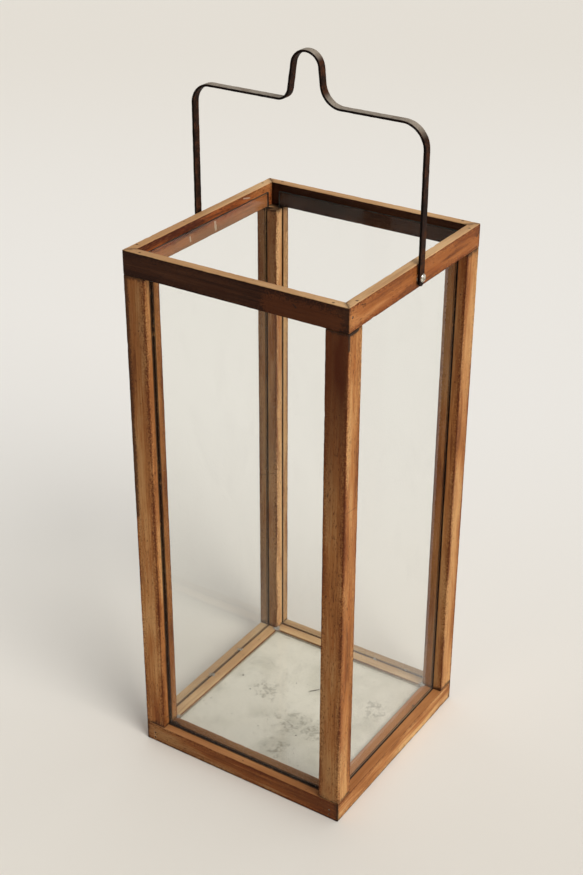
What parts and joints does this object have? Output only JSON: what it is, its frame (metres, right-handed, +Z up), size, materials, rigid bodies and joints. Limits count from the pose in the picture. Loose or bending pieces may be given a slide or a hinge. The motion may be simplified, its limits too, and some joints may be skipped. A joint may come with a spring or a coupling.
{
  "type": "hanging lantern",
  "caption": "Tall square wooden candle lantern, open at the top, with sliding clear glass sides, a glazed floor and a flat iron bail with a hook hump.",
  "frame": {"origin": "middle of the underside of the frame, on the surface the lantern stands on", "axes": "+Z up, +X along the axis of the bail's screws towards the right side, -Y towards the front"},
  "size_m": [0.2948, 0.28, 0.8572],
  "materials": {
    "post_wood": "oiled honey-brown wood, satin, darkened with age",
    "rail_wood": "oiled red-brown wood, satin, stained dark at joints",
    "side_glass": "clear 2 mm glass, faint green edge",
    "floor_glass": "clear 3 mm glass with dust and smudges",
    "pale_board": "pale painted board, matt",
    "bail_iron": "black-brown oxide with rust mottling",
    "bright_steel": "bright plated steel",
    "nail_steel": "dull grey steel"
  },
  "bodies": {
    "frame": {"post_front_left": "post_wood", "post_front_right": "post_wood", "post_back_right": "post_wood", "post_back_left": "post_wood", "top_rail_front": "rail_wood", "top_rail_right": "rail_wood", "top_rail_back": "rail_wood", "top_rail_left": "rail_wood", "bottom_rail_front": "rail_wood", "bottom_rail_right": "rail_wood", "bottom_rail_back": "rail_wood", "bottom_rail_left": "rail_wood", "floor_glass": "floor_glass", "floor_board": "pale_board", "pivot_screw_left": "bright_steel", "strap_washer_left": "bright_steel", "pivot_screw_right": "bright_steel", "strap_washer_right": "bright_steel", "rim_nail_front_front_left": "nail_steel", "post_screw_front_front_left": "bright_steel", "rim_nail_front_front_right": "nail_steel", "post_screw_front_front_right": "bright_steel", "rim_nail_right_front_right": "nail_steel", "post_screw_right_front_right": "bright_steel", "rim_nail_right_back_right": "nail_steel", "post_screw_right_back_right": "bright_steel", "rim_nail_back_back_right": "nail_steel", "post_screw_back_back_right": "bright_steel", "rim_nail_back_back_left": "nail_steel", "post_screw_back_back_left": "bright_steel", "rim_nail_left_back_left": "nail_steel", "post_screw_left_back_left": "bright_steel", "rim_nail_left_front_left": "nail_steel", "post_screw_left_front_left": "bright_steel", "rim_pin_front_left": "nail_steel", "base_pin_front_left_low": "nail_steel", "base_pin_front_left_high": "nail_steel", "rim_pin_front_right": "nail_steel", "base_pin_front_right_low": "nail_steel", "base_pin_front_right_high": "nail_steel", "rim_pin_back_right": "nail_steel", "base_pin_back_right_low": "nail_steel", "base_pin_back_right_high": "nail_steel", "rim_pin_back_left": "nail_steel", "base_pin_back_left_low": "nail_steel", "base_pin_back_left_high": "nail_steel"},
    "bail": {"bail_handle": "bail_iron"},
    "pane_front": {"glass_front": "side_glass"},
    "pane_right": {"glass_right": "side_glass"},
    "pane_back": {"glass_back": "side_glass"},
    "pane_left": {"glass_left": "side_glass"}
  },
  "joints": [
    {"name": "bail_swing", "type": "hinge", "parent": "frame", "child": "bail", "pos_m": [0, 0, 0.6395], "axis": [1, 0, 0], "range_deg": [-101, 101]},
    {"name": "pane_front_lift", "type": "slide", "parent": "frame", "child": "pane_front", "axis": [0, 0, 1], "range_m": [0, 0.6]},
    {"name": "pane_right_lift", "type": "slide", "parent": "frame", "child": "pane_right", "axis": [0, 0, 1], "range_m": [0, 0.148]},
    {"name": "pane_back_lift", "type": "slide", "parent": "frame", "child": "pane_back", "axis": [0, 0, 1], "range_m": [0, 0.6]},
    {"name": "pane_left_lift", "type": "slide", "parent": "frame", "child": "pane_left", "axis": [0, 0, 1], "range_m": [0, 0.148]}
  ]
}
